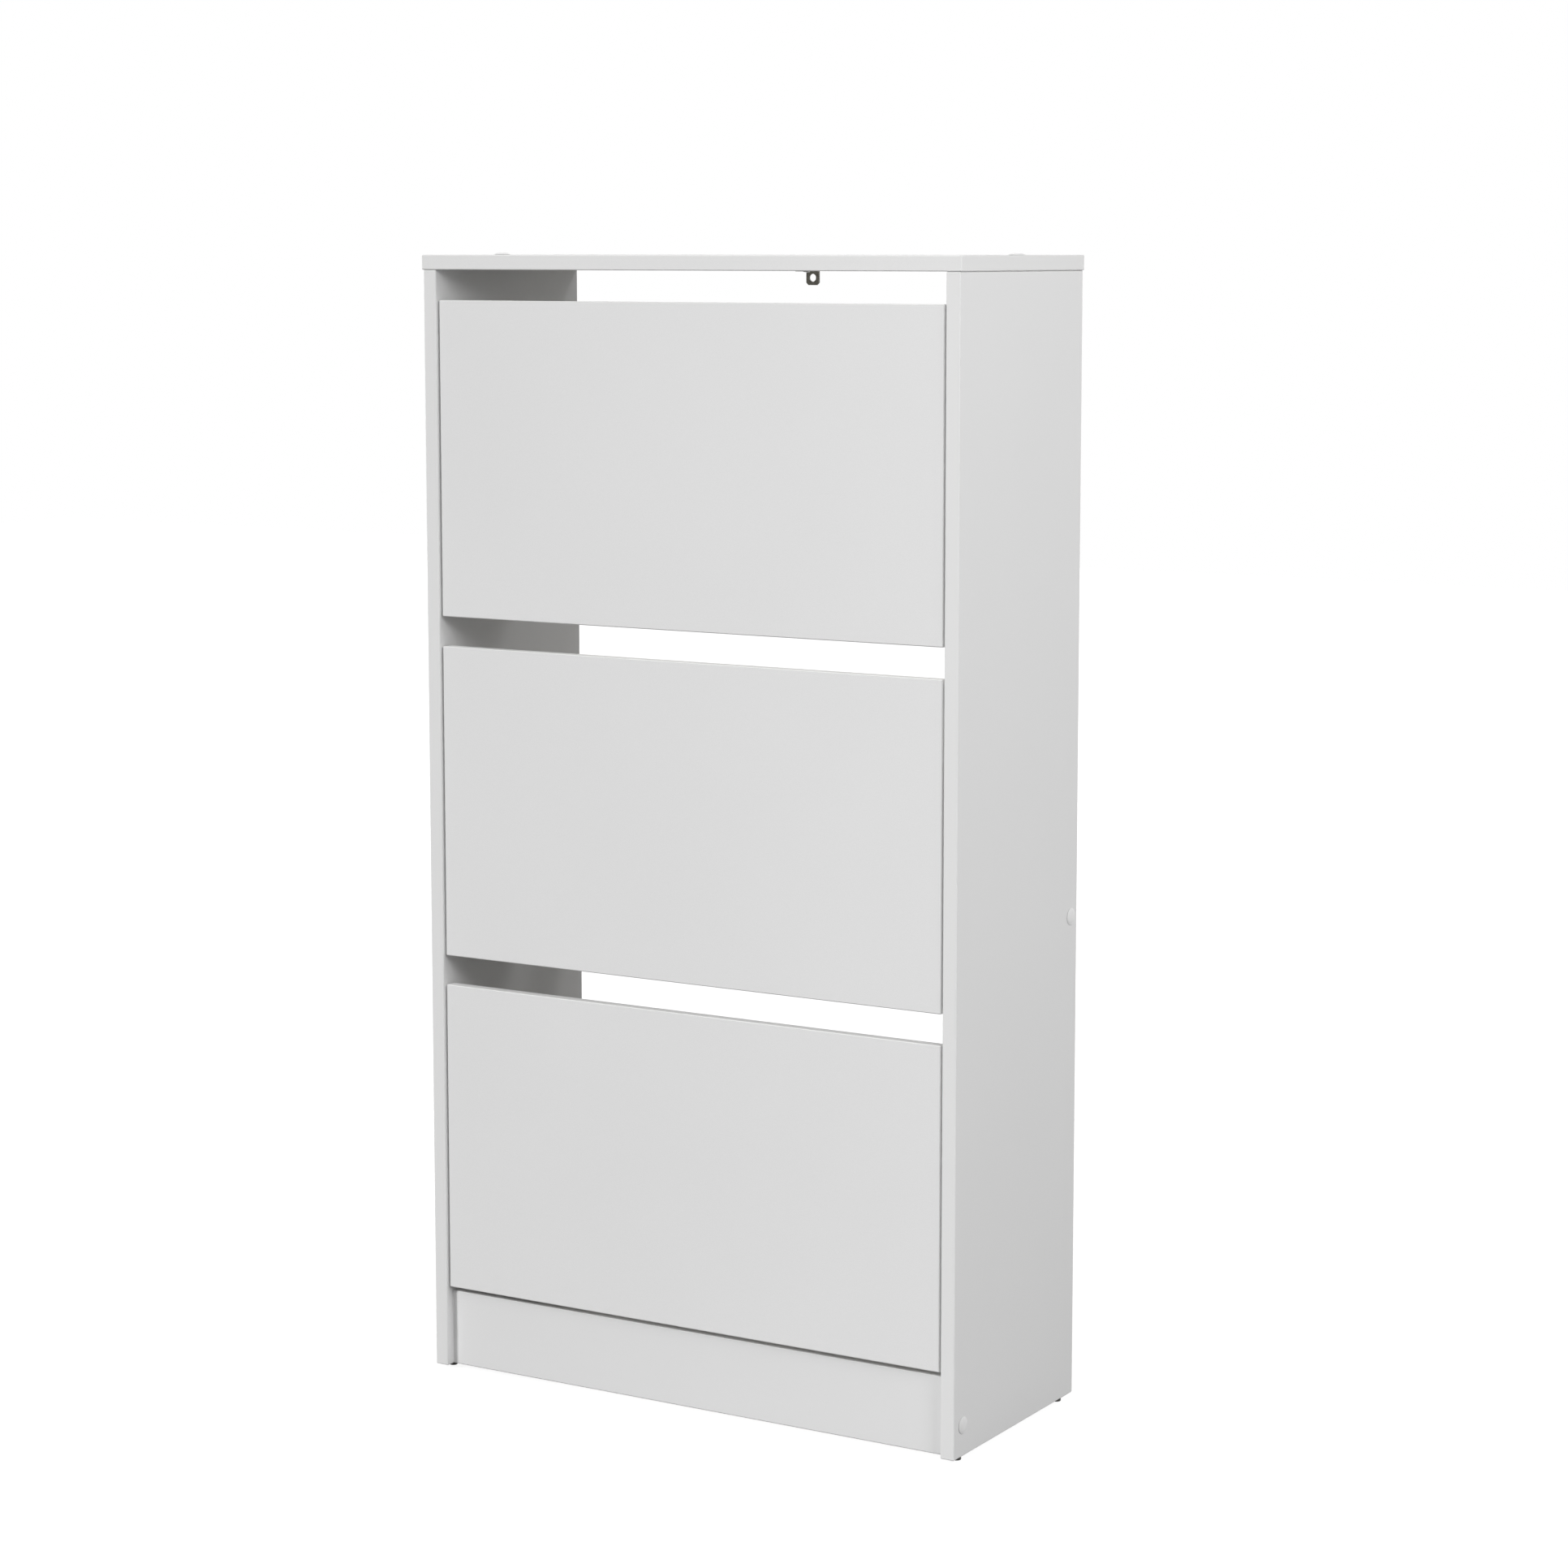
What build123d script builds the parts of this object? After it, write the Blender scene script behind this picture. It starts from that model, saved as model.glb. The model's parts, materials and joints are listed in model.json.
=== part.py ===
from build123d import *
import os
from math import asin, cos, degrees, radians, sin, sqrt

# A tall, shallow shoe cabinet in white-faced board. Two sides, a top, a recessed plinth and a rear rail
# make an open-backed carcass, and three fronts tilt out of it, each with a two-row shoe rack behind.
# Millimetres, +Z up, fronts towards -Y, origin on the floor under the middle of the cabinet.

os.makedirs("parts", exist_ok=True)

# Carcass boards
board = 15.0
side_depth = 254.0
inner_width = 584.0
plinth_height = 78.0
plinth_recess = 10.5
rail_height = 80.0
rail_inset = 6.0
rail_rise = 494.0
top_side_overhang = 1.5
top_front_overhang = 1.0
edge_break = 0.8

# Tilting fronts, counted from the floor
levels = ("lower", "middle", "upper")
front_height = 320.0
front_thickness = 12.0
front_recess = 1.75
front_side_gap = 2.5
plinth_gap = 6.5
grip_gap = 30.5

# Pivots and the opening stop
pivot_rise = 45.0
pivot_radius = 4.0
pivot_clearance = 0.05
boss_wall = 4.5
boss_gap = 0.5
bush_wall = 2.0
bush_flange_radius = 9.0
bush_flange = 1.5
axial_play = 0.5
stop_radius = 110.0
stop_angle = 75.0
opening_angle = 50.0
stop_pin_radius = 4.0
stop_pin_end_gap = 0.5
slot_clearance = 0.6

# Moulded cheeks that carry each rack
cheek_inset = 0.5
cheek_sweep_gap = 8.0
cheek_web = 2.5
cheek_rim = 2.5
cheek_rib = 2.0
cheek_rim_depth = 6.0
cheek_rib_depth = 4.5
cheek_ribs = 3
first_rib_angle = 10.0
last_rib_angle = 80.0
rib_start_gap = 5.0
heel_chamfer = 14.0
flange_thickness = 4.0
flange_width = 25.0
gusset_thickness = 2.5
gusset_reach = 16.0
gusset_edge = 4.0
seat_wall = 2.5
seat_depth = 8.0
boss_reach = 12.0

# Rack boards
rack_board = 6.0
front_pocket = 80.0
floor_gap = 1.5
rear_floor_rise = 30.0
back_board_rise = 105.0
rack_margin = 14.0
rack_break = 1.2

# Fasteners and fittings; those hidden in the boards are drawn with few sides, and so are their holes
few_sides = 8
hole_skin = 5.0
hole_end_gap = 0.5
screw_head_radius = 5.0
screw_head_height = 3.5
screw_shank_radius = 3.5
screw_bite = 35.0
socket_flats = 4.0
socket_depth = 2.5
dowel_radius = 4.0
dowel_bite = 20.0
top_dowel_spacing = 180.0
plinth_screw_rise = 31.0
plinth_dowel_rise = 32.0
rail_dowel_spacing = 50.0
cap_radius = 8.5
cap_height = 2.0
cap_rim_height = 1.1
cap_crown_radius = 4.0
cap_stem_gap = 0.5
pan_head_radius = 3.5
pan_head_height = 2.2
pan_shank_radius = 1.75
pan_hole_clearance = 0.5
pan_skin = 3.5
first_pan_rise = 30.0
last_pan_drop = 24.0
pan_rows = 2
glide_radius = 4.4
glide_height = 5.0
glide_inset = 20.0
glide_nail_radius = 1.25
glide_nail = 13.0

# Wall bracket under the back edge of the top
bracket_width = 15.0
bracket_drop = 16.0
bracket_leg = 24.0
bracket_sheet = 2.0
bracket_bend = 1.5
bracket_corner = 2.5
bracket_hole_radius = 4.0
bracket_hole_drop = 8.5
bracket_screw_inset = 14.0
bracket_head_height = 1.0

# Places worked out from the sizes above
cabinet_depth = side_depth + top_front_overhang
side_rear = cabinet_depth / 2
side_front = side_rear - side_depth
depth_middle = (side_front + side_rear) / 2
half_inner = inner_width / 2
half_outer = half_inner + board
side_middle = half_inner + board / 2
pitch = front_height + grip_gap
first_front = glide_height + plinth_height + plinth_gap
side_height = plinth_height + plinth_gap + len(levels) * pitch
side_top = glide_height + side_height
blind_depth = board - hole_skin
plinth_middle = side_front + plinth_recess + board / 2
rail_middle = side_rear - rail_inset - board / 2
front_face = side_front + front_recess
front_back = front_face + front_thickness
front_width = inner_width - 2 * front_side_gap

boss_radius = pivot_radius + boss_wall
pivot_inset = boss_radius + boss_gap
pivot_y = front_back + pivot_inset
front_bottoms = [first_front + step * pitch for step in range(len(levels))]
pivot_heights = [bottom + pivot_rise for bottom in front_bottoms]
bush_bore_radius = pivot_radius + pivot_clearance
bush_radius = bush_bore_radius + bush_wall
stop_back = stop_radius * cos(radians(stop_angle))
stop_up = stop_radius * sin(radians(stop_angle))

cheek_gap = front_side_gap + cheek_inset
web_outer = cheek_gap + cheek_rim_depth
web_inner = web_outer + cheek_web
cheek_radius = rail_middle - board / 2 - cheek_sweep_gap - pivot_y
fan_front = -pivot_inset
floor_top = -boss_radius - floor_gap
fan_bottom = floor_top - rack_board - cheek_rim
fan_top = sqrt(cheek_radius**2 - fan_front**2)
fan_heel = sqrt(cheek_radius**2 - fan_bottom**2)
flange_face = fan_front + flange_thickness
rack_length = inner_width - 2 * web_inner
rack_reach = cheek_radius - rack_margin
divider_front = fan_front + front_pocket
divider_back = divider_front + rack_board
back_board_back = sqrt(rack_reach**2 - back_board_rise**2)
back_board_front = back_board_back - rack_board

# Rack boards as (low, high) corners: back from the pivot axis, then up from it
rack_sections = {
    "front_row_floor": ((flange_face, floor_top - rack_board), (divider_front, floor_top)),
    "divider": (
        (divider_front, floor_top - rack_board),
        (divider_back, sqrt(rack_reach**2 - divider_back**2)),
    ),
    "rear_row_floor": (
        (divider_back, rear_floor_rise),
        (back_board_front, rear_floor_rise + rack_board),
    ),
    "back_board": ((back_board_front, rear_floor_rise), (back_board_back, back_board_rise)),
}

# Screws through the cheek flanges, up from the pivot axis
pan_spacing = (fan_top - last_pan_drop - first_pan_rise) / (pan_rows - 1)
pan_rises = [first_pan_rise + row * pan_spacing for row in range(pan_rows)]
pan_bite = front_thickness - pan_skin
pan_inset = web_inner + flange_width / 2
gusset_rises = [rise + pan_spacing / 2 for rise in pan_rises[:-1]]


def facing(place, direction):
    """A plane at a place on a surface, with its Z axis pointing out of that surface."""
    return Plane(origin=place, z_dir=direction)


# Where the carcass is screwed and dowelled together
top_screw_places = [
    facing((side * side_middle, depth_middle, side_top + board), (0, 0, 1)) for side in (-1, 1)
]
side_screw_places = []
edge_dowel_places = []
for side in (-1, 1):
    for y, z in (
        (plinth_middle, glide_height + plinth_screw_rise),
        (rail_middle, glide_height + rail_rise),
    ):
        side_screw_places.append(facing((side * half_outer, y, z), (side, 0, 0)))
    for y, z in (
        (plinth_middle, glide_height + plinth_screw_rise + plinth_dowel_rise),
        (rail_middle, glide_height + rail_rise - rail_dowel_spacing / 2),
        (rail_middle, glide_height + rail_rise + rail_dowel_spacing / 2),
    ):
        edge_dowel_places.append(facing((side * half_inner, y, z), (side, 0, 0)))
top_dowel_places = [
    facing((side * side_middle, depth_middle + step * top_dowel_spacing / 2, side_top), (0, 0, 1))
    for side in (-1, 1)
    for step in (-1, 1)
]
glide_places = [
    facing((side * side_middle, y, glide_height), (0, 0, -1))
    for side in (-1, 1)
    for y in (side_front + glide_inset, side_rear - glide_inset)
]


def bar(radius, bottom, top):
    """A short bar on the Z axis with few sides, for a small round fastener or the hole that it fills."""
    with BuildPart() as prism:
        with BuildSketch(Plane.XY.offset(bottom)):
            RegularPolygon(radius, few_sides)
        extrude(amount=top - bottom)
    return prism


# Connecting screw with a flush head; the same shape cuts its stepped hole in the outer board
with BuildPart() as screw_blank:
    add(bar(screw_shank_radius, -board - screw_bite, 0).part)
    add(bar(screw_head_radius, -screw_head_height, 0).part)


def side_panel(side):
    """One side board with every drilling: screws, dowels, pivot bushes, stop pins and glide nails."""
    with BuildPart() as panel:
        with Locations((side * side_middle, depth_middle, glide_height + side_height / 2)):
            Box(board, side_depth, side_height)
        chamfer(panel.edges(), edge_break)
        with Locations([place for place in side_screw_places if place.origin.X * side > 0]):
            add(screw_blank.part, mode=Mode.SUBTRACT)
        with BuildSketch(Plane.YZ.offset(side * half_inner)):
            with Locations([(pivot_y, height) for height in pivot_heights]):
                RegularPolygon(bush_radius, few_sides)
            with Locations([(pivot_y + stop_back, height + stop_up) for height in pivot_heights]):
                RegularPolygon(stop_pin_radius, few_sides)
            for place in edge_dowel_places:
                if place.origin.X * side > 0:
                    with Locations((place.origin.Y, place.origin.Z)):
                        RegularPolygon(dowel_radius, few_sides)
        extrude(amount=side * blind_depth, mode=Mode.SUBTRACT)
        with BuildSketch(Plane.XY.offset(side_top)):
            with Locations((side * side_middle, depth_middle)):
                RegularPolygon(screw_shank_radius, few_sides)
        extrude(amount=-screw_bite - hole_end_gap, mode=Mode.SUBTRACT)
        with BuildSketch(Plane.XY.offset(side_top)):
            with Locations((side * side_middle, depth_middle)):
                with GridLocations(0, top_dowel_spacing, 1, 2):
                    RegularPolygon(dowel_radius, few_sides)
        extrude(amount=-dowel_bite, mode=Mode.SUBTRACT)
        with BuildSketch(Plane.XY.offset(glide_height)):
            with Locations((side * side_middle, side_front + glide_inset)):
                RegularPolygon(glide_nail_radius, few_sides)
            with Locations((side * side_middle, side_rear - glide_inset)):
                RegularPolygon(glide_nail_radius, few_sides)
        extrude(amount=glide_nail, mode=Mode.SUBTRACT)
    return panel


left_side_panel = side_panel(-1)
left_side_panel.part.label = "left_side_panel"
export_step(left_side_panel.part, "parts/left_side_panel.step")

right_side_panel = side_panel(1)
right_side_panel.part.label = "right_side_panel"
export_step(right_side_panel.part, "parts/right_side_panel.step")

# The top lies on the side boards and stands a little proud of them at the sides and front
with BuildPart() as top_panel:
    with Locations((0, 0, side_top + board / 2)):
        Box(2 * (half_outer + top_side_overhang), cabinet_depth, board)
    chamfer(top_panel.edges(), edge_break)
    with Locations(top_screw_places):
        add(screw_blank.part, mode=Mode.SUBTRACT)
    with BuildSketch(Plane.XY.offset(side_top)):
        with Locations((0, depth_middle)):
            with GridLocations(2 * side_middle, top_dowel_spacing, 2, 2):
                RegularPolygon(dowel_radius, few_sides)
    extrude(amount=blind_depth, mode=Mode.SUBTRACT)
    with BuildSketch(Plane.XY.offset(side_top)):
        with Locations((0, side_rear - bracket_screw_inset)):
            RegularPolygon(pan_shank_radius, few_sides)
    extrude(amount=blind_depth, mode=Mode.SUBTRACT)
top_panel.part.label = "top_panel"
export_step(top_panel.part, "parts/top_panel.step")


def cross_board(middle_y, bottom, height, screw_height, dowel_heights):
    """A board between the sides, drilled in both ends for one screw and its dowels."""
    with BuildPart() as rail:
        with Locations((0, middle_y, bottom + height / 2)):
            Box(inner_width, board, height)
        chamfer(rail.edges().filter_by(Axis.X), edge_break)
        for side in (-1, 1):
            with BuildSketch(Plane.YZ.offset(side * half_inner)):
                with Locations((middle_y, screw_height)):
                    RegularPolygon(screw_shank_radius, few_sides)
            extrude(amount=-side * (screw_bite + hole_end_gap), mode=Mode.SUBTRACT)
            with BuildSketch(Plane.YZ.offset(side * half_inner)):
                with Locations([(middle_y, dowel_height) for dowel_height in dowel_heights]):
                    RegularPolygon(dowel_radius, few_sides)
            extrude(amount=-side * dowel_bite, mode=Mode.SUBTRACT)
    return rail


plinth_screw_height = glide_height + plinth_screw_rise
plinth = cross_board(
    plinth_middle,
    glide_height,
    plinth_height,
    plinth_screw_height,
    [plinth_screw_height + plinth_dowel_rise],
)
plinth.part.label = "plinth"
export_step(plinth.part, "parts/plinth.step")

rail_screw_height = glide_height + rail_rise
rear_rail = cross_board(
    rail_middle,
    rail_screw_height - rail_height / 2,
    rail_height,
    rail_screw_height,
    [rail_screw_height - rail_dowel_spacing / 2, rail_screw_height + rail_dowel_spacing / 2],
)
rear_rail.part.label = "rear_rail"
export_step(rear_rail.part, "parts/rear_rail.step")

# Sheet-steel angle: one leg under the top, the other hanging flush with the back, holed for a wall screw
with BuildPart() as wall_bracket:
    with BuildSketch(Plane.YZ) as angle_section:
        with BuildLine():
            Polyline(
                (side_rear, side_top),
                (side_rear, side_top - bracket_drop),
                (side_rear - bracket_sheet, side_top - bracket_drop),
                (side_rear - bracket_sheet, side_top - bracket_sheet),
                (side_rear - bracket_leg, side_top - bracket_sheet),
                (side_rear - bracket_leg, side_top),
                close=True,
            )
        make_face()
        outer_corner = (side_rear, side_top)
        inner_corner = (side_rear - bracket_sheet, side_top - bracket_sheet)
        fillet(angle_section.vertices().sort_by_distance(outer_corner)[0], bracket_bend + bracket_sheet)
        fillet(angle_section.vertices().sort_by_distance(inner_corner)[0], bracket_bend)
    extrude(amount=bracket_width / 2, both=True)
    chamfer(wall_bracket.edges().filter_by(Axis.Y).group_by(Axis.Z)[0], bracket_corner)
    with Locations(facing((0, side_rear - bracket_sheet, side_top - bracket_hole_drop), (0, -1, 0))):
        Hole(bracket_hole_radius, depth=bracket_sheet)
    with BuildSketch(Plane.XY.offset(side_top)):
        with Locations((0, side_rear - bracket_screw_inset)):
            RegularPolygon(pan_shank_radius + pan_hole_clearance, few_sides)
    extrude(amount=-bracket_sheet, mode=Mode.SUBTRACT)
wall_bracket.part.label = "wall_bracket"
export_step(wall_bracket.part, "parts/wall_bracket.step")


def pan_screw(grip, bite, head_height=pan_head_height):
    """A round-headed wood screw: head above the origin, shank down through a grip into a board."""
    with BuildPart() as screw:
        add(bar(pan_shank_radius, -grip - bite, 0).part)
        add(bar(pan_head_radius, 0, head_height).part)
    return screw


bracket_fixing = pan_screw(bracket_sheet, blind_depth - hole_end_gap, bracket_head_height)
with BuildPart() as wall_bracket_screw:
    with Locations(facing((0, side_rear - bracket_screw_inset, side_top - bracket_sheet), (0, 0, -1))):
        add(bracket_fixing.part)
wall_bracket_screw.part.label = "wall_bracket_screw"
export_step(wall_bracket_screw.part, "parts/wall_bracket_screw.step")

# Nail-on floor glide: a flat-soled button with its nail up in the side board's lower edge
with BuildPart() as glide:
    add(bar(glide_radius, 0, glide_height).part)
    add(bar(glide_nail_radius, hole_end_gap - glide_nail, 0).part)

with BuildPart() as floor_glides:
    with Locations(glide_places):
        add(glide.part)
floor_glides.part.label = "floor_glides"
export_step(floor_glides.part, "parts/floor_glides.step")

# The connecting screw has a hexagon socket in its head
with BuildPart() as connecting_screw:
    add(screw_blank.part)
    with BuildSketch():
        RegularPolygon(socket_flats / 2, 6, major_radius=False)
    extrude(amount=-socket_depth, mode=Mode.SUBTRACT)

with BuildPart() as assembly_screws:
    with Locations(top_screw_places + side_screw_places):
        add(connecting_screw.part)
assembly_screws.part.label = "assembly_screws"
export_step(assembly_screws.part, "parts/assembly_screws.step")

# Cover cap with an upright rim and a sloped crown, and a hexagon stem that plugs the screw's socket
with BuildPart() as cover_cap:
    with BuildSketch(Plane.XZ):
        with BuildLine():
            Polyline(
                (0, 0),
                (cap_radius, 0),
                (cap_radius, cap_rim_height),
                (cap_crown_radius, cap_height),
                (0, cap_height),
                close=True,
            )
        make_face()
    revolve(axis=Axis.Z)
    with BuildSketch():
        RegularPolygon(socket_flats / 2, 6, major_radius=False)
    extrude(amount=cap_stem_gap - socket_depth)

with BuildPart() as top_cover_caps:
    with Locations(top_screw_places):
        add(cover_cap.part)
top_cover_caps.part.label = "top_cover_caps"
export_step(top_cover_caps.part, "parts/top_cover_caps.step")

with BuildPart() as side_cover_caps:
    with Locations(side_screw_places):
        add(cover_cap.part)
side_cover_caps.part.label = "side_cover_caps"
export_step(side_cover_caps.part, "parts/side_cover_caps.step")

# Beech dowel across a joint: its origin is in the joint, its long end below
dowel = bar(dowel_radius, hole_end_gap - dowel_bite, blind_depth - hole_end_gap)
with BuildPart() as dowels:
    with Locations(top_dowel_places + edge_dowel_places):
        add(dowel.part)
dowels.part.label = "dowels"
export_step(dowels.part, "parts/dowels.step")

# Flanged plastic bush in the side board, bored for the cheek's pivot stub
with BuildPart() as bush:
    add(bar(bush_radius, -blind_depth, 0).part)
    add(bar(bush_flange_radius, 0, bush_flange).part)
    with Locations((0, 0, bush_flange)):
        Hole(bush_bore_radius)

with BuildPart() as pivot_bushes:
    for side in (-1, 1):
        with Locations(
            [facing((side * half_inner, pivot_y, height), (-side, 0, 0)) for height in pivot_heights]
        ):
            add(bush.part)
pivot_bushes.part.label = "pivot_bushes"
export_step(pivot_bushes.part, "parts/pivot_bushes.step")

# Stop pin in the side board: it runs in the cheek's curved slot and ends the front's travel both ways
stop_pin = bar(stop_pin_radius, -blind_depth, web_inner - stop_pin_end_gap)
with BuildPart() as stop_pins:
    for side in (-1, 1):
        with Locations(
            [
                facing((side * half_inner, pivot_y + stop_back, height + stop_up), (-side, 0, 0))
                for height in pivot_heights
            ]
        ):
            add(stop_pin.part)
stop_pins.part.label = "stop_pins"
export_step(stop_pins.part, "parts/stop_pins.step")

# Cheek profiles about the pivot: the first coordinate runs back from the axis, the second up from it.
# The fan is a quarter disc that stays inside its own circle as the front tilts.
with BuildSketch() as fan:
    with BuildLine():
        Polyline((fan_heel, fan_bottom), (fan_front, fan_bottom), (fan_front, fan_top))
        arc_middle = cheek_radius / sqrt(2)
        ThreePointArc((fan_front, fan_top), (arc_middle, arc_middle), (fan_heel, fan_bottom))
    make_face()
    chamfer(fan.vertices().sort_by(Axis.X)[-1], heel_chamfer)

with BuildSketch() as fan_rim:
    add(fan.sketch)
    offset(amount=-cheek_rim, mode=Mode.SUBTRACT)

# Curved slot for the stop pin, as long as the opening angle with the pin's own width at both ends
slot_reach = stop_pin_radius + slot_clearance
slot_overrun = degrees(asin(slot_reach / stop_radius))
slot_start = stop_angle - opening_angle - slot_overrun
slot_sweep = opening_angle + 2 * slot_overrun
with BuildSketch() as stop_slot:
    with BuildLine():
        slot_outer = CenterArc((0, 0), stop_radius + slot_reach, slot_start, slot_sweep)
        slot_inner = CenterArc((0, 0), stop_radius - slot_reach, slot_start, slot_sweep)
        Line(slot_outer @ 0, slot_inner @ 0)
        Line(slot_outer @ 1, slot_inner @ 1)
    make_face()

rib_start = stop_radius + slot_reach + rib_start_gap
rib_length = cheek_radius - cheek_rim / 2 - rib_start
with BuildSketch() as outer_ribs:
    with PolarLocations(
        rib_start + rib_length / 2,
        cheek_ribs,
        start_angle=first_rib_angle,
        angular_range=last_rib_angle - first_rib_angle,
        endpoint=True,
    ):
        Rectangle(rib_length, cheek_rib)

with BuildSketch() as board_seats:
    for wall, mode in ((seat_wall, Mode.ADD), (0, Mode.SUBTRACT)):
        for low, high in rack_sections.values():
            with Locations(((low[0] + high[0]) / 2, (low[1] + high[1]) / 2)):
                Rectangle(high[0] - low[0] + 2 * wall, high[1] - low[1] + 2 * wall, mode=mode)
    add(fan.sketch, mode=Mode.INTERSECT)


def pan_places(side, pivot_height):
    """Where screws go through one cheek's flange into the back of the front."""
    x = side * (half_inner - pan_inset)
    return [facing((x, pivot_y + flange_face, pivot_height + rise), (0, 1, 0)) for rise in pan_rises]


def cheek(side, pivot_height):
    """A moulded cheek: fan web, rim, ribs, stop slot, board seats, pivot boss and a screw flange."""

    def across(inset):
        origin = (side * (half_inner - inset), pivot_y, pivot_height)
        return Plane(origin=origin, x_dir=(0, 1, 0), z_dir=(1, 0, 0))

    boss_outer = bush_flange + axial_play
    with BuildPart() as moulding:
        with BuildSketch(across(web_outer)):
            add(fan.sketch)
        extrude(amount=-side * cheek_web)
        with BuildSketch(across(web_outer)):
            add(fan_rim.sketch)
        extrude(amount=side * cheek_rim_depth)
        with BuildSketch(across(web_outer)):
            add(outer_ribs.sketch)
        extrude(amount=side * cheek_rib_depth)
        with BuildSketch(across(web_inner)):
            add(board_seats.sketch)
        extrude(amount=-side * seat_depth)
        with BuildSketch(across(cheek_gap)):
            with Locations((fan_front, fan_bottom)):
                Rectangle(flange_thickness, fan_top - fan_bottom, align=(Align.MIN, Align.MIN))
        extrude(amount=-side * (web_inner - cheek_gap + flange_width))
        for rise in gusset_rises:
            with BuildSketch(Plane.XY.offset(pivot_height + rise - gusset_thickness / 2)):
                with BuildLine():
                    corner = side * (half_inner - web_inner)
                    root = pivot_y + flange_face
                    Polyline(
                        (corner, root),
                        (corner - side * (flange_width - gusset_edge), root),
                        (corner, root + gusset_reach),
                        close=True,
                    )
                make_face()
            extrude(amount=gusset_thickness)
        with BuildSketch(across(boss_outer)):
            RegularPolygon(boss_radius, few_sides)
        extrude(amount=-side * (web_inner - boss_outer + boss_reach))
        with BuildSketch(across(boss_outer)):
            Circle(pivot_radius)
        extrude(amount=side * (boss_outer + blind_depth - hole_end_gap))
        with BuildSketch(across(cheek_gap)):
            add(stop_slot.sketch)
        extrude(amount=-side * (web_inner - cheek_gap), mode=Mode.SUBTRACT)
        with BuildSketch(Plane.XZ.offset(-pivot_y - flange_face)):
            with Locations([(place.origin.X, place.origin.Z) for place in pan_places(side, pivot_height)]):
                RegularPolygon(pan_shank_radius + pan_hole_clearance, few_sides)
        extrude(amount=flange_thickness, mode=Mode.SUBTRACT)
    return moulding


cheek_fixing = pan_screw(flange_thickness, pan_bite - hole_end_gap)

# One tilting front with its rack, three times over
for level, bottom, pivot_height in zip(levels, front_bottoms, pivot_heights):
    screw_places = pan_places(-1, pivot_height) + pan_places(1, pivot_height)

    with BuildPart() as front:
        with Locations((0, (front_face + front_back) / 2, bottom + front_height / 2)):
            Box(front_width, front_thickness, front_height)
        chamfer(front.edges(), edge_break)
        with BuildSketch(Plane.XZ.offset(-front_back)):
            with Locations([(place.origin.X, place.origin.Z) for place in screw_places]):
                RegularPolygon(pan_shank_radius, few_sides)
        extrude(amount=pan_bite, mode=Mode.SUBTRACT)
    front.part.label = f"{level}_front"
    export_step(front.part, f"parts/{level}_front.step")

    for hand, side in (("left", -1), ("right", 1)):
        moulding = cheek(side, pivot_height)
        moulding.part.label = f"{level}_{hand}_cheek"
        export_step(moulding.part, f"parts/{level}_{hand}_cheek.step")

    for name, (low, high) in rack_sections.items():
        with BuildPart() as rack:
            with BuildSketch(Plane(origin=(0, pivot_y, pivot_height), x_dir=(0, 1, 0), z_dir=(1, 0, 0))):
                with Locations(low):
                    Rectangle(high[0] - low[0], high[1] - low[1], align=(Align.MIN, Align.MIN))
            extrude(amount=rack_length / 2, both=True)
            chamfer(rack.edges().filter_by(Axis.X).group_by(Axis.Z)[-1], rack_break)
        rack.part.label = f"{level}_{name}"
        export_step(rack.part, f"parts/{level}_{name}.step")

    with BuildPart() as cheek_screws:
        with Locations(screw_places):
            add(cheek_fixing.part)
    cheek_screws.part.label = f"{level}_cheek_screws"
    export_step(cheek_screws.part, f"parts/{level}_cheek_screws.step")
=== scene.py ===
import json
import math

import bmesh
import bpy
from mathutils import Matrix, Vector


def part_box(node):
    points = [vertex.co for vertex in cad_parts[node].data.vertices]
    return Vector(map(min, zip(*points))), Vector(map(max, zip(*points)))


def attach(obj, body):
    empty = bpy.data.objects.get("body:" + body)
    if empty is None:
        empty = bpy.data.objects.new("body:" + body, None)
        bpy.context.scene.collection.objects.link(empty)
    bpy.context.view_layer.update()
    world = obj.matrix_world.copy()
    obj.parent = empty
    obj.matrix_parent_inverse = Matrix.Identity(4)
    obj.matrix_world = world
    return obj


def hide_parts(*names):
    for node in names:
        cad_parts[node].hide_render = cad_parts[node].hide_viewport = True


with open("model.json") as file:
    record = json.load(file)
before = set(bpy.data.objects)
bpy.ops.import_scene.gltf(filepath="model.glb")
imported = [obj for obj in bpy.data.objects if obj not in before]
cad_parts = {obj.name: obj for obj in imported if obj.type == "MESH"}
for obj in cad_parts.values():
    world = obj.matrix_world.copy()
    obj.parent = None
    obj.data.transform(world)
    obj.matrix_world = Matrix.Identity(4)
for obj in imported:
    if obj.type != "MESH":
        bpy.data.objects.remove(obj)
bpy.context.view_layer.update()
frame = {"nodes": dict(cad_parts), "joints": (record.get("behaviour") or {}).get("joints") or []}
nodes = frame["nodes"]
mm = 0.001


# The carcass: two sides, a top, a plinth and a rear rail, sawn from 15 mm particle board. White foil with
# a fine pearl is pressed on the broad faces, and thin white band is glued round the sawn edges. The boards
# are dowelled and screwed to each other, with the top lying on the sides.
foil_white = (0.835, 0.835, 0.835, 1.0)
foil_smoothest = 0.46
foil_roughest = 0.56
foil_shine = 0.18
band_white = (0.835, 0.835, 0.833, 1.0)
band_thickness = 0.8 * mm
glue_tint = (0.42, 0.41, 0.39, 1.0)
glue_show = 0.55
glue_line = 0.12 * mm
clouds_per_metre = 5.0
cloud_swing = 0.018
pearl_per_metre = 720.0
grain_per_pearl = 3.7
grain_swing = 0.06
edge_facing = 0.80
broad_facing = 0.95


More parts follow.
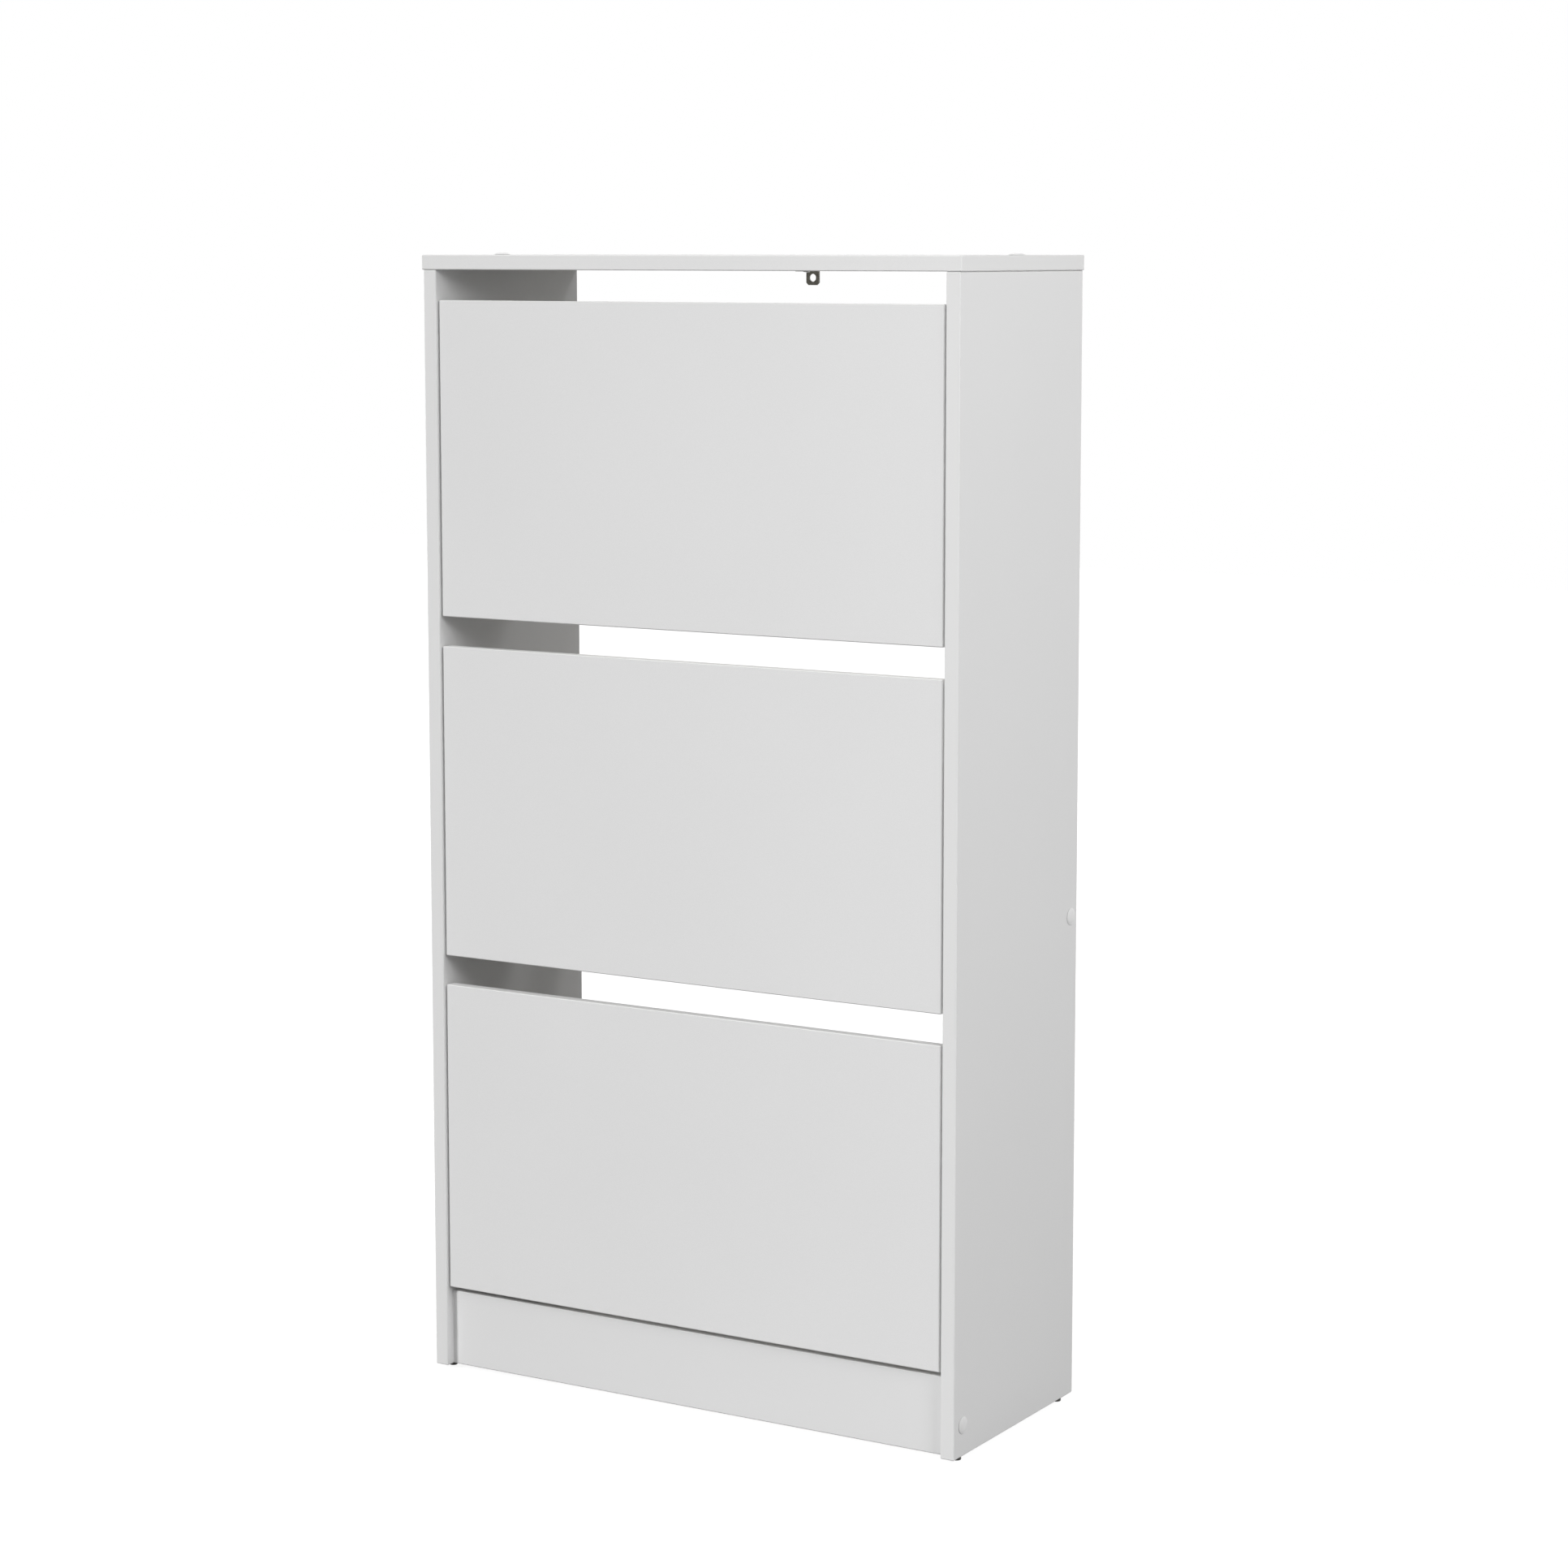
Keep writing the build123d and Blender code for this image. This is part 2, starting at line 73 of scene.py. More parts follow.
def shader_node(tree, kind, sockets=None, **settings):
    """Adds a shader node with its settings and its plain socket values."""
    made = tree.nodes.new(kind)
    for name, value in settings.items():
        setattr(made, name, value)
    for name, value in (sockets or {}).items():
        made.inputs[name].default_value = value
    return made


def start_group(name, inputs, outputs):
    """An empty shader node group with named sockets, and its two end nodes."""
    group = bpy.data.node_groups.new(name, "ShaderNodeTree")
    for label, kind in inputs:
        group.interface.new_socket(name=label, in_out="INPUT", socket_type=kind)
    for label, kind in outputs:
        group.interface.new_socket(name=label, in_out="OUTPUT", socket_type=kind)
    return group, group.nodes.new("NodeGroupInput"), group.nodes.new("NodeGroupOutput")


def make_board_face():
    """Foil on the broad faces and band round the edges of a board between two corners."""
    group, given, result = start_group(
        "board_face",
        [
            ("Foil Colour", "NodeSocketColor"),
            ("Band Colour", "NodeSocketColor"),
            ("Face Axis", "NodeSocketVector"),
            ("Low Corner", "NodeSocketVector"),
            ("High Corner", "NodeSocketVector"),
            ("Band Thickness", "NodeSocketFloat"),
            ("Glue Line", "NodeSocketFloat"),
            ("Pearl Per Metre", "NodeSocketFloat"),
            ("Gloss Spread", "NodeSocketFloat"),
        ],
        [("Colour", "NodeSocketColor"), ("Roughness", "NodeSocketFloat"), ("Height", "NodeSocketFloat")],
    )
    link = group.links.new
    place = shader_node(group, "ShaderNodeTexCoord")

    # How far a face looks along the board's thin axis: 1 on the broad faces, 0 on the edges
    turned_to = shader_node(group, "ShaderNodeVectorMath", operation="ABSOLUTE")
    along = shader_node(group, "ShaderNodeVectorMath", operation="DOT_PRODUCT")
    broad = shader_node(group, "ShaderNodeMapRange", {"From Min": edge_facing, "From Max": broad_facing})
    link(place.outputs["Normal"], turned_to.inputs[0])
    link(turned_to.outputs["Vector"], along.inputs[0])
    link(given.outputs["Face Axis"], along.inputs[1])
    link(along.outputs["Value"], broad.inputs["Value"])

    # Distance in from the nearest edge of the broad face, for the glue line behind the band
    from_low = shader_node(group, "ShaderNodeVectorMath", operation="SUBTRACT")
    from_high = shader_node(group, "ShaderNodeVectorMath", operation="SUBTRACT")
    nearest = shader_node(group, "ShaderNodeVectorMath", operation="MINIMUM")
    in_plane = shader_node(group, "ShaderNodeVectorMath", operation="ADD")
    parts = shader_node(group, "ShaderNodeSeparateXYZ")
    nearer = shader_node(group, "ShaderNodeMath", operation="MINIMUM")
    edge_distance = shader_node(group, "ShaderNodeMath", operation="MINIMUM")
    on_line = shader_node(group, "ShaderNodeMath", operation="COMPARE")
    seam = shader_node(group, "ShaderNodeMath", operation="MULTIPLY")
    link(place.outputs["Object"], from_low.inputs[0])
    link(given.outputs["Low Corner"], from_low.inputs[1])
    link(given.outputs["High Corner"], from_high.inputs[0])
    link(place.outputs["Object"], from_high.inputs[1])
    link(from_low.outputs["Vector"], nearest.inputs[0])
    link(from_high.outputs["Vector"], nearest.inputs[1])
    link(nearest.outputs["Vector"], in_plane.inputs[0])
    link(given.outputs["Face Axis"], in_plane.inputs[1])
    link(in_plane.outputs["Vector"], parts.inputs["Vector"])
    link(parts.outputs["X"], nearer.inputs[0])
    link(parts.outputs["Y"], nearer.inputs[1])
    link(nearer.outputs["Value"], edge_distance.inputs[0])
    link(parts.outputs["Z"], edge_distance.inputs[1])
    link(edge_distance.outputs["Value"], on_line.inputs[0])
    link(given.outputs["Band Thickness"], on_line.inputs[1])
    link(given.outputs["Glue Line"], on_line.inputs[2])
    link(on_line.outputs["Value"], seam.inputs[0])
    link(broad.outputs["Result"], seam.inputs[1])

    # Slow cloudiness, the pearl of the foil, and its finest grain
    cloud = shader_node(group, "ShaderNodeTexNoise", {"Scale": clouds_per_metre, "Detail": 3.0})
    pearl = shader_node(group, "ShaderNodeTexNoise", {"Detail": 2.0, "Roughness": 0.45})
    finer = shader_node(group, "ShaderNodeMath", {1: grain_per_pearl}, operation="MULTIPLY")
    grain = shader_node(group, "ShaderNodeTexNoise", {"Detail": 1.0})
    cloud_tone = shader_node(
        group, "ShaderNodeMapRange", {"To Min": 1 - cloud_swing, "To Max": 1 + cloud_swing}
    )
    grain_tone = shader_node(
        group, "ShaderNodeMapRange", {"To Min": 1 - grain_swing, "To Max": 1 + grain_swing}
    )
    tone = shader_node(group, "ShaderNodeMath", operation="MULTIPLY")
    for noise in (cloud, pearl, grain):
        link(place.outputs["Object"], noise.inputs["Vector"])
    link(given.outputs["Pearl Per Metre"], pearl.inputs["Scale"])
    link(given.outputs["Pearl Per Metre"], finer.inputs[0])
    link(finer.outputs["Value"], grain.inputs["Scale"])
    link(cloud.outputs["Fac"], cloud_tone.inputs["Value"])
    link(grain.outputs["Fac"], grain_tone.inputs["Value"])
    link(cloud_tone.outputs["Result"], tone.inputs[0])
    link(grain_tone.outputs["Result"], tone.inputs[1])

    # Foil or band in that tone, with the glue line showing through
    covering = shader_node(group, "ShaderNodeMix", data_type="RGBA")
    toned = shader_node(group, "ShaderNodeVectorMath", operation="SCALE")
    seamed = shader_node(group, "ShaderNodeMix", {"B": glue_tint}, data_type="RGBA")
    seam_depth = shader_node(group, "ShaderNodeMath", {1: glue_show}, operation="MULTIPLY")
    link(broad.outputs["Result"], covering.inputs["Factor"])
    link(given.outputs["Band Colour"], covering.inputs["A"])
    link(given.outputs["Foil Colour"], covering.inputs["B"])
    link(covering.outputs["Result"], toned.inputs[0])
    link(tone.outputs["Value"], toned.inputs["Scale"])
    link(seam.outputs["Value"], seam_depth.inputs[0])
    link(seam_depth.outputs["Value"], seamed.inputs["Factor"])
    link(toned.outputs["Vector"], seamed.inputs["A"])
    link(seamed.outputs["Result"], result.inputs["Colour"])

    # The pearl also breaks up the gloss and gives the height of the bump
    face_gloss = shader_node(
        group, "ShaderNodeMapRange", {"To Min": foil_smoothest, "To Max": foil_roughest}
    )
    gloss = shader_node(group, "ShaderNodeMath", operation="ADD")
    link(pearl.outputs["Fac"], face_gloss.inputs["Value"])
    link(face_gloss.outputs["Result"], gloss.inputs[0])
    link(given.outputs["Gloss Spread"], gloss.inputs[1])
    link(gloss.outputs["Value"], result.inputs["Roughness"])
    link(pearl.outputs["Fac"], result.inputs["Height"])
    return group


board_face = make_board_face()


def finished(name, group, values, bump_strength, bump_distance):
    """A material whose colour, roughness and bump come from one group, set with its own values."""
    material = bpy.data.materials.new(name)
    material.use_nodes = True
    tree = material.node_tree
    surface = tree.nodes["Principled BSDF"]
    look = shader_node(tree, "ShaderNodeGroup", node_tree=group)
    for socket, value in values.items():
        look.inputs[socket].default_value = value
    bump = shader_node(tree, "ShaderNodeBump", {"Strength": bump_strength, "Distance": bump_distance})
    tree.links.new(look.outputs["Colour"], surface.inputs["Base Color"])
    tree.links.new(look.outputs["Roughness"], surface.inputs["Roughness"])
    tree.links.new(look.outputs["Height"], bump.inputs["Height"])
    tree.links.new(bump.outputs["Normal"], surface.inputs["Normal"])
    return material


def dress(node_name, material):
    """Gives a carried-over board or fitting its finish."""
    for material_slot in nodes[node_name].material_slots:
        material_slot.material = material


def dress_board(node_name, face_axis, foil=foil_white, band=band_white, gloss_spread=0.0):
    """Covers one board: foil on the two faces along its thin axis, band round its edges."""
    low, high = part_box(node_name)
    values = {
        "Foil Colour": foil,
        "Band Colour": band,
        "Face Axis": face_axis,
        "Low Corner": low,
        "High Corner": high,
        "Band Thickness": band_thickness,
        "Glue Line": glue_line,
        "Pearl Per Metre": pearl_per_metre,
        "Gloss Spread": gloss_spread,
    }
    covering = finished(
        node_name + "_foil", board_face, values, bump_strength=0.10, bump_distance=0.15 * mm
    )
    covering.node_tree.nodes["Principled BSDF"].inputs["Specular IOR Level"].default_value = foil_shine
    dress(node_name, covering)


dress_board("left_side_panel", (1, 0, 0))
dress_board("right_side_panel", (1, 0, 0))
dress_board("top_panel", (0, 0, 1))
dress_board("plinth", (0, 1, 0))
dress_board("rear_rail", (0, 1, 0))


# Dowels and connecting screws hold the boards together. The dowels are plain beech, glued in, and the
# screws are zinc-plated steel with a hexagon socket. All of them sit inside the boards.
beech_light = (0.66, 0.47, 0.29, 1.0)
beech_dark = (0.50, 0.33, 0.19, 1.0)
zinc_bright = (0.66, 0.67, 0.69, 1.0)
zinc_dull = (0.50, 0.50, 0.51, 1.0)


def make_streaks():
    """Two tones in streaks along one axis, as in timber or drawn metal."""
    group, given, result = start_group(
        "streaks",
        [
            ("Light Colour", "NodeSocketColor"),
            ("Dark Colour", "NodeSocketColor"),
            ("Stretch", "NodeSocketVector"),
            ("Streaks Per Metre", "NodeSocketFloat"),
            ("Smoothest", "NodeSocketFloat"),
            ("Roughest", "NodeSocketFloat"),
        ],
        [("Colour", "NodeSocketColor"), ("Roughness", "NodeSocketFloat"), ("Height", "NodeSocketFloat")],
    )
    link = group.links.new
    place = shader_node(group, "ShaderNodeTexCoord")
    stretched = shader_node(group, "ShaderNodeVectorMath", operation="MULTIPLY")
    streak = shader_node(group, "ShaderNodeTexNoise", {"Detail": 4.0, "Distortion": 0.3})
    colour = shader_node(group, "ShaderNodeMix", data_type="RGBA")
    rough = shader_node(group, "ShaderNodeMapRange")
    link(place.outputs["Object"], stretched.inputs[0])
    link(given.outputs["Stretch"], stretched.inputs[1])
    link(stretched.outputs["Vector"], streak.inputs["Vector"])
    link(given.outputs["Streaks Per Metre"], streak.inputs["Scale"])
    link(streak.outputs["Fac"], colour.inputs["Factor"])
    link(given.outputs["Light Colour"], colour.inputs["A"])
    link(given.outputs["Dark Colour"], colour.inputs["B"])
    link(streak.outputs["Fac"], rough.inputs["Value"])
    link(given.outputs["Smoothest"], rough.inputs["To Min"])
    link(given.outputs["Roughest"], rough.inputs["To Max"])
    link(colour.outputs["Result"], result.inputs["Colour"])
    link(rough.outputs["Result"], result.inputs["Roughness"])
    link(streak.outputs["Fac"], result.inputs["Height"])
    return group


streaks = make_streaks()
beech_values = {
    "Light Colour": beech_light,
    "Dark Colour": beech_dark,
    "Stretch": (0.1, 1.0, 1.0),
    "Streaks Per Metre": 700.0,
    "Smoothest": 0.55,
    "Roughest": 0.70,
}
beech = finished("beech", streaks, beech_values, bump_strength=0.2, bump_distance=0.1 * mm)
zinc_values = {
    "Light Colour": zinc_bright,
    "Dark Colour": zinc_dull,
    "Stretch": (1.0, 1.0, 1.0),
    "Streaks Per Metre": 900.0,
    "Smoothest": 0.24,
    "Roughest": 0.40,
}
zinc = finished("zinc_plate", streaks, zinc_values, bump_strength=0.05, bump_distance=0.05 * mm)
zinc.node_tree.nodes["Principled BSDF"].inputs["Metallic"].default_value = 1.0
dress("dowels", beech)
dress("assembly_screws", zinc)


# Domed cover caps, moulded in white plastic and pressed over the heads of the connecting screws: two on the
# top at mid depth, and on each side one low at the front for the plinth and one at the rear for the rail.
cap_white = (0.835, 0.835, 0.833, 1.0)
cap_radius = 8.5 * mm
cap_height = 2.0 * mm
cap_seat_radius = 7.4 * mm
cap_groove = 0.35 * mm
cap_rim_height = 0.6 * mm
cap_round = 0.2 * mm
cap_round_middle = 0.3 * cap_round
cap_fullness = 2.8
cap_sides = 64
dome_rings = 16
flow_marks_per_metre = 28.0
flow_swing = 0.03


def make_moulding():
    """Moulded plastic: an even colour with faint flow marks and a fine spark-eroded texture."""
    group, given, result = start_group(
        "moulding",
        [
            ("Colour", "NodeSocketColor"),
            ("Texture Per Metre", "NodeSocketFloat"),
            ("Smoothest", "NodeSocketFloat"),
            ("Roughest", "NodeSocketFloat"),
        ],
        [("Colour", "NodeSocketColor"), ("Roughness", "NodeSocketFloat"), ("Height", "NodeSocketFloat")],
    )
    link = group.links.new
    place = shader_node(group, "ShaderNodeTexCoord")
    flow = shader_node(
        group, "ShaderNodeTexNoise", {"Scale": flow_marks_per_metre, "Detail": 2.0, "Distortion": 0.6}
    )
    spark = shader_node(group, "ShaderNodeTexNoise", {"Detail": 3.0, "Roughness": 0.6})
    flow_tone = shader_node(
        group, "ShaderNodeMapRange", {"To Min": 1 - flow_swing, "To Max": 1 + flow_swing}
    )
    toned = shader_node(group, "ShaderNodeVectorMath", operation="SCALE")
    rough = shader_node(group, "ShaderNodeMapRange")
    link(place.outputs["Object"], flow.inputs["Vector"])
    link(place.outputs["Object"], spark.inputs["Vector"])
    link(given.outputs["Texture Per Metre"], spark.inputs["Scale"])
    link(flow.outputs["Fac"], flow_tone.inputs["Value"])
    link(given.outputs["Colour"], toned.inputs[0])
    link(flow_tone.outputs["Result"], toned.inputs["Scale"])
    link(spark.outputs["Fac"], rough.inputs["Value"])
    link(given.outputs["Smoothest"], rough.inputs["To Min"])
    link(given.outputs["Roughest"], rough.inputs["To Max"])
    link(toned.outputs["Vector"], result.inputs["Colour"])
    link(rough.outputs["Result"], result.inputs["Roughness"])
    link(spark.outputs["Fac"], result.inputs["Height"])
    return group


moulding = make_moulding()
cap_values = {"Colour": cap_white, "Texture Per Metre": 2600.0, "Smoothest": 0.26, "Roughest": 0.36}
cap_plastic = finished("cap_plastic", moulding, cap_values, bump_strength=0.04, bump_distance=0.05 * mm)


def looking(place, direction):
    """Where a turned piece goes: its origin at a place and its Z axis along a direction."""
    return Matrix.Translation(place) @ Vector(direction).to_track_quat("Z", "Y").to_matrix().to_4x4()


def turned(outline, sides):
    """A solid turned round Z from (radius, height) points, from axis to axis or back to their start."""
    form = bmesh.new()
    rings = []
    for radius, height in outline:
        if radius == 0:
            rings.append([form.verts.new((0, 0, height))])
            continue
        angles = [2 * math.pi * step / sides for step in range(sides)]
        rings.append([form.verts.new((radius * math.cos(a), radius * math.sin(a), height)) for a in angles])
    for inner, outer in zip(rings, rings[1:]):
        for step in range(sides):
            following = (step + 1) % sides
            corners = [inner[step % len(inner)], outer[step % len(outer)]]
            corners += [outer[following % len(outer)], inner[following % len(inner)]]
            form.faces.new(list(dict.fromkeys(corners)))
    bmesh.ops.recalc_face_normals(form, faces=form.faces)
    return form


def arc(centre, across, up, steps):
    """A quarter of an ellipse as (radius, height) points, from its outer end to its top."""
    points = []
    for step in range(steps + 1):
        turn = math.pi / 2 * step / steps
        points.append((centre[0] + across * math.cos(turn), centre[1] + up * math.sin(turn)))
    return points


def set_out(name, form, places, material, sharp_angle=40.0):
    """One piece made of the same form at several places."""
    pattern = bpy.data.meshes.new(name + "_pattern")
    form.to_mesh(pattern)
    form.free()
    group_form = bmesh.new()
    for place in places:
        start = len(group_form.verts)
        group_form.from_mesh(pattern)
        group_form.verts.ensure_lookup_table()
        bmesh.ops.transform(group_form, matrix=place, verts=group_form.verts[start:])
    mesh = bpy.data.meshes.new(name)
    group_form.to_mesh(mesh)
    group_form.free()
    bpy.data.meshes.remove(pattern)
    mesh.shade_smooth()
    mesh.set_sharp_from_angle(angle=math.radians(sharp_angle))
    mesh.materials.append(material)
    piece = bpy.data.objects.new(name, mesh)
    bpy.context.scene.collection.objects.link(piece)
    return piece


def stand_for(piece, body, node_name):
    """The piece moves with a body and is shown in place of a CAD node."""
    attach(piece, body)
    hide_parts(node_name)


def cap_form():
    """A seat that is set in under the rim, the rim with a rounded edge, then a dome with full shoulders."""
    dome = cap_height - cap_rim_height
    dome_radius = cap_radius - cap_round
    outline = [
        (0, 0),
        (cap_seat_radius, 0),
        (cap_seat_radius, cap_groove),
        (cap_radius, cap_groove),
        (cap_radius, cap_rim_height - cap_round),
        (cap_radius - cap_round_middle, cap_rim_height - cap_round_middle),
    ]
    for ring in range(dome_rings):
        share = 1 - ring / dome_rings
        outline.append((dome_radius * share, cap_height - dome * share**cap_fullness))
    outline.append((0, cap_height))
    return turned(outline, cap_sides)


low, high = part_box("top_cover_caps")
cap_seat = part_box("top_panel")[1].z
cap_middle = (low.y + high.y) / 2
cap_places = [
    looking((low.x + cap_radius, cap_middle, cap_seat), (0, 0, 1)),
    looking((high.x - cap_radius, cap_middle, cap_seat), (0, 0, 1)),
]
top_caps = set_out("top_caps", cap_form(), cap_places, cap_plastic)
stand_for(top_caps, "carcass", "top_cover_caps")

low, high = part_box("side_cover_caps")
outer_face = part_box("right_side_panel")[1].x
cap_places = []
for side in (-1, 1):
    for y, z in ((low.y + cap_radius, low.z + cap_radius), (high.y - cap_radius, high.z - cap_radius)):
        cap_places.append(looking((side * outer_face, y, z), (side, 0, 0)))
side_caps = set_out("side_caps", cap_form(), cap_places, cap_plastic)
stand_for(side_caps, "carcass", "side_cover_caps")


# Floor glides: dark grey plastic buttons under the corners of the sides, each moulded round a nail that is
# driven up into the board. Their soles are rounded off and polished a little by the floor.
glide_grey = (0.075, 0.073, 0.067, 1.0)
glide_radius = 4.4 * mm
glide_height = 5.0 * mm
glide_sole_round = 0.9 * mm
glide_rim_break = 0.3 * mm
glide_nail_radius = 1.2 * mm
glide_nail_point = 2.0 * mm
glide_sides = 48
glide_shine = 0.25
round_steps = 6
glide_values = {"Colour": glide_grey, "Texture Per Metre": 1800.0, "Smoothest": 0.30, "Roughest": 0.46}
glide_plastic = finished(
    "glide_plastic", moulding, glide_values, bump_strength=0.10, bump_distance=0.08 * mm
)
glide_plastic.node_tree.nodes["Principled BSDF"].inputs["Specular IOR Level"].default_value = glide_shine

low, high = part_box("floor_glides")
nail_top = high.z - glide_height
sole_centre = (glide_radius - glide_sole_round, glide_height - glide_sole_round)
glide_outline = [
    (0, glide_height),
    *reversed(arc(sole_centre, glide_sole_round, glide_sole_round, round_steps)),
    (glide_radius, glide_rim_break),
    (glide_radius - glide_rim_break, 0),
    (glide_nail_radius, 0),
    (glide_nail_radius, -nail_top + glide_nail_point),
    (0, -nail_top),
]
glide_places = []
for x in (low.x + glide_radius, high.x - glide_radius):
    for y in (low.y + glide_radius, high.y - glide_radius):
        glide_places.append(looking((x, y, glide_height), (0, 0, -1)))
glides = set_out("glides", turned(glide_outline, glide_sides), glide_places, glide_plastic)
stand_for(glides, "carcass", "floor_glides")


# The wall bracket, a bent angle of sheet steel in grey coating, hangs at the back edge of the top with
# a round hole for a wall screw. A short low-headed screw with a cross recess holds it up into the top.
bracket_grey = (0.440, 0.430, 0.390, 1.0)
bracket_head_height = 1.0 * mm
pan_head_radius = 3.5 * mm
pan_head_break = 0.15 * mm
pan_edge_share = 0.32
pan_shank_radius = 1.75 * mm
pan_point = 2.4 * mm
pan_tip_radius = 0.7 * mm
pan_tip = 0.6 * mm
pan_sides = 40
recess_depth = 1.5 * mm
recess_reach = 2.0 * mm
recess_width = 0.42 * mm
recess_flare = 1.15
recess_point = 0.45
recess_clear = 0.5 * mm
bracket_values = {"Colour": bracket_grey, "Texture Per Metre": 1500.0, "Smoothest": 0.36, "Roughest": 0.50}
bracket_coating = finished(
    "bracket_coating", moulding, bracket_values, bump_strength=0.12, bump_distance=0.08 * mm
)
dress("wall_bracket", bracket_coating)


def cross_cutter(head_height):
    """A plus-shaped tool that narrows downwards, for pressing the recess in a screw head."""
    form = bmesh.new()
    quarter = [(recess_reach, -recess_width), (recess_reach, recess_width), (recess_width, recess_width)]
    rims = []
    ends = ((head_height + recess_clear, recess_flare), (head_height - recess_depth, recess_point))
    for height, taper in ends:
        rim = []
        for turn in range(4):
            for x, y in quarter:
                spun = Matrix.Rotation(turn * math.pi / 2, 2) @ Vector((x, y))
                rim.append(form.verts.new((spun.x * taper, spun.y * taper, height)))
        rims.append(rim)
    upper, lower = rims
    for step in range(len(upper)):
        following = (step + 1) % len(upper)
        form.faces.new((upper[step], upper[following], lower[following], lower[step]))
    form.faces.new(upper)
    form.faces.new(lower)
    bmesh.ops.recalc_face_normals(form, faces=form.faces)
    return form


def pan_screw(length, head_height):
    """A round-headed screw, its head above the origin and its shank below, with a cross recess."""
    edge = pan_edge_share * head_height
    outline = [
        (0, -length),
        (pan_tip_radius, -length + pan_tip),
        (pan_shank_radius, -length + pan_point),
        (pan_shank_radius, 0),
        (pan_head_radius - pan_head_break, 0),
        (pan_head_radius, pan_head_break),
        *arc((0, edge), pan_head_radius, head_height - edge, round_steps)[:-1],
        (0, head_height),
    ]
    blank, tool = bpy.data.meshes.new("screw_blank"), bpy.data.meshes.new("recess_tool")
    for form, mesh in ((turned(outline, pan_sides), blank), (cross_cutter(head_height), tool)):
        form.to_mesh(mesh)
        form.free()
    blank_piece = bpy.data.objects.new("screw_blank", blank)
    tool_piece = bpy.data.objects.new("recess_tool", tool)
    bpy.context.scene.collection.objects.link(blank_piece)
    bpy.context.scene.collection.objects.link(tool_piece)
    recess = blank_piece.modifiers.new("recess", "BOOLEAN")
    recess.operation = "DIFFERENCE"
    recess.solver = "EXACT"
    recess.object = tool_piece
    evaluated = blank_piece.evaluated_get(bpy.context.evaluated_depsgraph_get())
    pressed = bpy.data.meshes.new_from_object(evaluated)
    result = bmesh.new()
    result.from_mesh(pressed)
    bpy.data.objects.remove(blank_piece)
    bpy.data.objects.remove(tool_piece)
    for mesh in (blank, tool, pressed):
        bpy.data.meshes.remove(mesh)
    return result


low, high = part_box("wall_bracket_screw")
screw_middle = (low + high) / 2
screw_seat = low.z + bracket_head_height
screw_place = looking((screw_middle.x, screw_middle.y, screw_seat), (0, 0, -1))
screw_form = pan_screw(high.z - screw_seat, bracket_head_height)
bracket_screw = set_out("bracket_screw", screw_form, [screw_place], zinc)
stand_for(bracket_screw, "carcass", "wall_bracket_screw")


# Pivot bushes and stop pins, pressed into the inner faces of the sides. The bushes are flanged and moulded
# in off-white plastic, and the steel pins run in the curved slots of the cheeks to end the travel.
bush_white = (0.74, 0.73, 0.70, 1.0)
bush_bore_radius = 4.05 * mm
bush_radius = 5.5 * mm
bush_flange_radius = 8.3 * mm
bush_flange = 1.5 * mm
bush_depth = 10.0 * mm
bush_break = 0.3 * mm
bush_sides = 40
weld_distance = 0.001 * mm
bush_values = {"Colour": bush_white, "Texture Per Metre": 2200.0, "Smoothest": 0.32, "Roughest": 0.44}
bush_plastic = finished("bush_plastic", moulding, bush_values, bump_strength=0.05, bump_distance=0.05 * mm)


def bush_form():
    """A flanged sleeve: the outline runs round the wall and closes on itself."""
    outline = [
        (bush_bore_radius, -bush_depth),
        (bush_radius, -bush_depth),
        (bush_radius, 0),
        (bush_flange_radius, 0),
        (bush_flange_radius, bush_flange - bush_break),
        (bush_flange_radius - bush_break, bush_flange),
        (bush_bore_radius + bush_break, bush_flange),
        (bush_bore_radius, bush_flange - bush_break),
        (bush_bore_radius, -bush_depth),
    ]
    form = turned(outline, bush_sides)
    bmesh.ops.remove_doubles(form, verts=form.verts, dist=weld_distance)
    bmesh.ops.recalc_face_normals(form, faces=form.faces)
    return form


inner_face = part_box("right_side_panel")[0].x
pivots = [Vector(joint["pos_m"]) for joint in frame["joints"]]
bush_places = [
    looking((side * inner_face, pivot.y, pivot.z), (-side, 0, 0)) for side in (-1, 1) for pivot in pivots
]
bushes = set_out("bushes", bush_form(), bush_places, bush_plastic)
stand_for(bushes, "carcass", "pivot_bushes")

stop_pin_radius = 3.9 * mm
stop_pin_break = 0.7 * mm
stop_pin_sides = 40
low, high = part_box("stop_pins")
stop_middle = (low.y + high.y) / 2
stop_rise = low.z + (high.y - low.y) / 2 - min(pivot.z for pivot in pivots)
pin_seat = high.x - inner_face
pin_reach = inner_face - min(abs(corner.co.x) for corner in nodes["stop_pins"].data.vertices)
pin_outline = [
    (0, -pin_seat),
    (stop_pin_radius, -pin_seat),
    (stop_pin_radius, pin_reach - stop_pin_break),
    (stop_pin_radius - stop_pin_break, pin_reach),
    (0, pin_reach),
]
pin_places = [
    looking((side * inner_face, stop_middle, pivot.z + stop_rise), (-side, 0, 0))
    for side in (-1, 1)
    for pivot in pivots
]
pins = set_out("travel_pins", turned(pin_outline, stop_pin_sides), pin_places, zinc)
stand_for(pins, "carcass", "stop_pins")


# Three tilting fronts of 12 mm board in the same white foil, banded on all four edges. Each is pulled by
# its upper edge through the gap above it, so it carries no handle.
levels = ("lower", "middle", "upper")
for level in levels:
    dress_board(level + "_front", (0, 1, 0))


